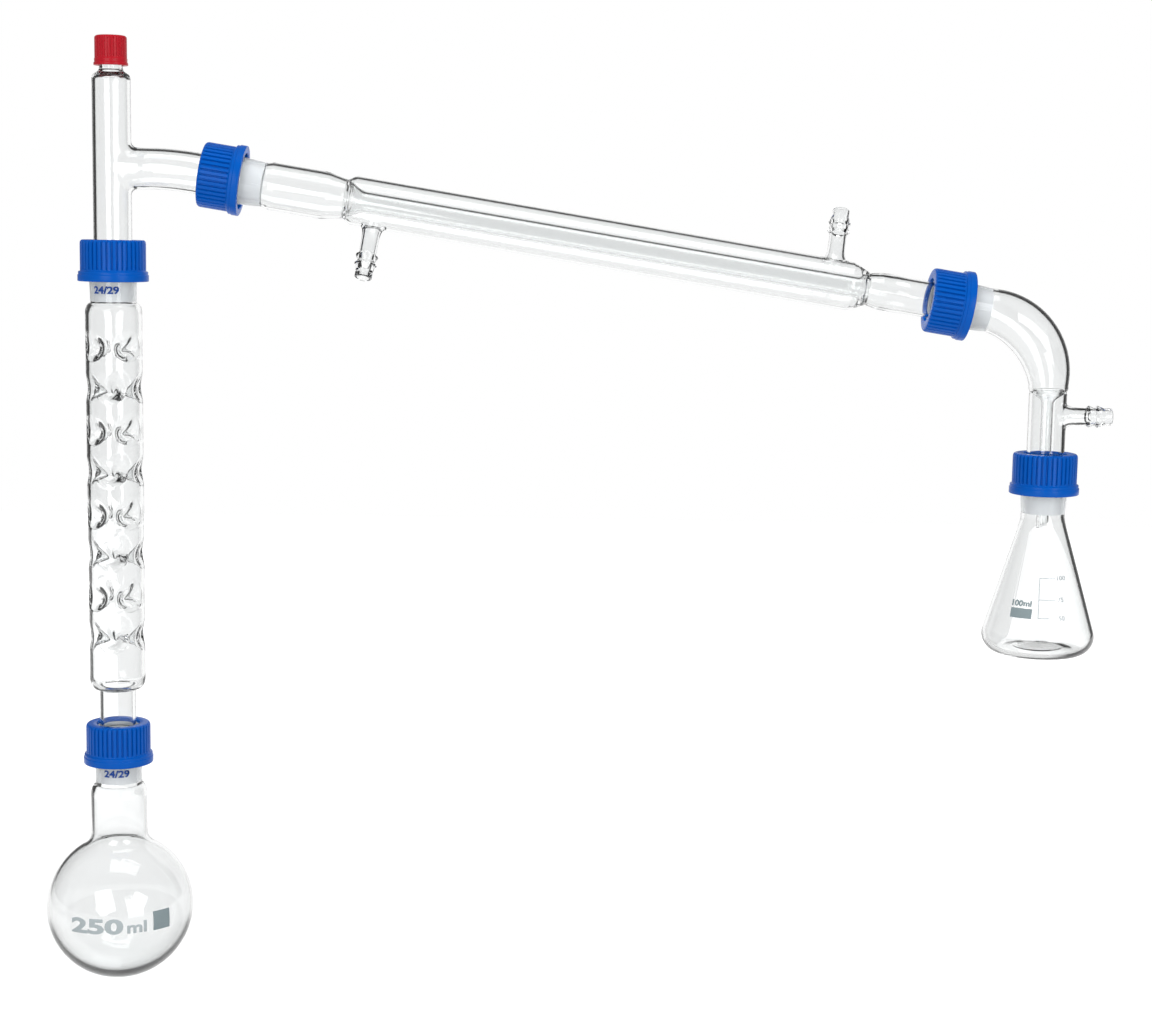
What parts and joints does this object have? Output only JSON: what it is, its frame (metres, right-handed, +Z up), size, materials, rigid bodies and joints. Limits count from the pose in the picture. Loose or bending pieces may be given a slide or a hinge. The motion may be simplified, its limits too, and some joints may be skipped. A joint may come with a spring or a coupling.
{
  "type": "distillation apparatus",
  "caption": "Laboratory glass distillation set: round flask, indented column, still head with thermometer port, sloping water condenser, vacuum adapter and conical receiver, held by screw caps.",
  "frame": {"origin": "on the column's axis at the middle of the round flask's neck, where a stand's clamp holds it", "axes": "+X towards the receiving flask, +Y away from the viewer, +Z up"},
  "size_m": [0.6174, 0.085, 0.5471],
  "materials": {
    "borosilicate_glass": "clear, with ground joints",
    "blue_cap_plastic": "moulded polypropylene",
    "red_cap_plastic": "moulded plastic",
    "ptfe": "white, smooth",
    "silicone": "translucent white"
  },
  "bodies": {
    "flask": {"round_bottom_flask": "borosilicate_glass", "flask_socket": "borosilicate_glass"},
    "column": {"vigreux_column": "borosilicate_glass", "flask_sealing_ring": "silicone"},
    "still_head": {"still_head": "borosilicate_glass", "column_sealing_ring": "silicone", "condenser_sealing_ring": "silicone", "thermometer_seal": "silicone"},
    "condenser": {"condenser_inner_tube": "borosilicate_glass", "condenser_jacket": "borosilicate_glass", "adapter_sealing_ring": "silicone"},
    "adapter": {"receiver_adapter": "borosilicate_glass", "drip_tube": "borosilicate_glass"},
    "receiver_ring": {"receiver_sealing_ring": "silicone"},
    "receiver": {"conical_flask": "borosilicate_glass"},
    "flask_cap_slide": {"flask_washer": "ptfe"},
    "flask_cap": {"flask_cap": "blue_cap_plastic"},
    "column_cap_slide": {"column_washer": "ptfe"},
    "column_cap": {"column_cap": "blue_cap_plastic"},
    "condenser_cap_slide": {"condenser_washer": "ptfe"},
    "condenser_cap": {"condenser_cap": "blue_cap_plastic"},
    "adapter_cap_slide": {"adapter_washer": "ptfe"},
    "adapter_cap": {"adapter_cap": "blue_cap_plastic"},
    "receiver_cap_slide": {"receiver_washer": "ptfe"},
    "receiver_cap": {"receiver_cap": "blue_cap_plastic"},
    "thermometer_cap_slide": {"thermometer_disc": "ptfe"},
    "thermometer_cap": {"thermometer_cap": "red_cap_plastic"}
  },
  "joints": [
    {"name": "column_swivel", "type": "hinge", "parent": "flask", "child": "column", "pos_m": [0, 0, 0.0527], "axis": [0, 0, 1], "continuous": true},
    {"name": "head_swivel", "type": "hinge", "parent": "column", "child": "still_head", "pos_m": [0, 0, 0.3331], "axis": [0, 0, 1], "continuous": true},
    {"name": "condenser_swivel", "type": "hinge", "parent": "still_head", "child": "condenser", "pos_m": [0.05673, 0, 0.37598], "axis": [0.9882, 0, -0.153], "continuous": true},
    {"name": "adapter_swivel", "type": "hinge", "parent": "condenser", "child": "adapter", "pos_m": [0.47218, 0, 0.31167], "axis": [0.9882, 0, -0.153], "continuous": true},
    {"name": "receiver_swivel", "type": "hinge", "parent": "adapter", "child": "receiver_ring", "pos_m": [0.5376, 0, 0.21904], "axis": [0, 0, 1], "continuous": true},
    {"name": "receiver_pull_off", "type": "slide", "parent": "receiver_ring", "child": "receiver", "axis": [0, 0, -1], "range_m": [0, 0.045]},
    {"name": "flask_cap_lift", "type": "slide", "parent": "flask", "child": "flask_cap_slide", "axis": [0, 0, 1], "range_m": [0, 0.01001]},
    {"name": "flask_cap_turn", "type": "hinge", "parent": "flask_cap_slide", "child": "flask_cap", "pos_m": [0, 0, 0.0527], "axis": [0, 0, 1], "range_deg": [0, 900]},
    {"name": "column_cap_lift", "type": "slide", "parent": "column", "child": "column_cap_slide", "axis": [0, 0, 1], "range_m": [0, 0.01001]},
    {"name": "column_cap_turn", "type": "hinge", "parent": "column_cap_slide", "child": "column_cap", "pos_m": [0, 0, 0.3331], "axis": [0, 0, 1], "range_deg": [0, 900]},
    {"name": "condenser_cap_lift", "type": "slide", "parent": "condenser", "child": "condenser_cap_slide", "axis": [-0.9882, 0, 0.153], "range_m": [0, 0.01001]},
    {"name": "condenser_cap_turn", "type": "hinge", "parent": "condenser_cap_slide", "child": "condenser_cap", "pos_m": [0.05673, 0, 0.37598], "axis": [-0.9882, 0, 0.153], "range_deg": [0, 900]},
    {"name": "adapter_cap_lift", "type": "slide", "parent": "adapter", "child": "adapter_cap_slide", "axis": [-0.9882, 0, 0.153], "range_m": [0, 0.01001]},
    {"name": "adapter_cap_turn", "type": "hinge", "parent": "adapter_cap_slide", "child": "adapter_cap", "pos_m": [0.47218, 0, 0.31167], "axis": [-0.9882, 0, 0.153], "range_deg": [0, 900]},
    {"name": "receiver_cap_lift", "type": "slide", "parent": "adapter", "child": "receiver_cap_slide", "axis": [0, 0, 1], "range_m": [0, 0.01001]},
    {"name": "receiver_cap_turn", "type": "hinge", "parent": "receiver_cap_slide", "child": "receiver_cap", "pos_m": [0.5376, 0, 0.21904], "axis": [0, 0, 1], "range_deg": [0, 900]},
    {"name": "thermometer_cap_lift", "type": "slide", "parent": "still_head", "child": "thermometer_cap_slide", "axis": [0, 0, 1], "range_m": [0, 0.00751]},
    {"name": "thermometer_cap_turn", "type": "hinge", "parent": "thermometer_cap_slide", "child": "thermometer_cap", "pos_m": [0, 0, 0.4469], "axis": [0, 0, 1], "range_deg": [0, 1080]}
  ],
  "couplings": [
    {"joint": "flask_cap_lift", "follows": "flask_cap_turn", "m_per_rad": 0.00063662},
    {"joint": "column_cap_lift", "follows": "column_cap_turn", "m_per_rad": 0.00063662},
    {"joint": "condenser_cap_lift", "follows": "condenser_cap_turn", "m_per_rad": 0.00063662},
    {"joint": "adapter_cap_lift", "follows": "adapter_cap_turn", "m_per_rad": 0.00063662},
    {"joint": "receiver_cap_lift", "follows": "receiver_cap_turn", "m_per_rad": 0.00063662},
    {"joint": "thermometer_cap_lift", "follows": "thermometer_cap_turn", "m_per_rad": 0.00039789}
  ]
}
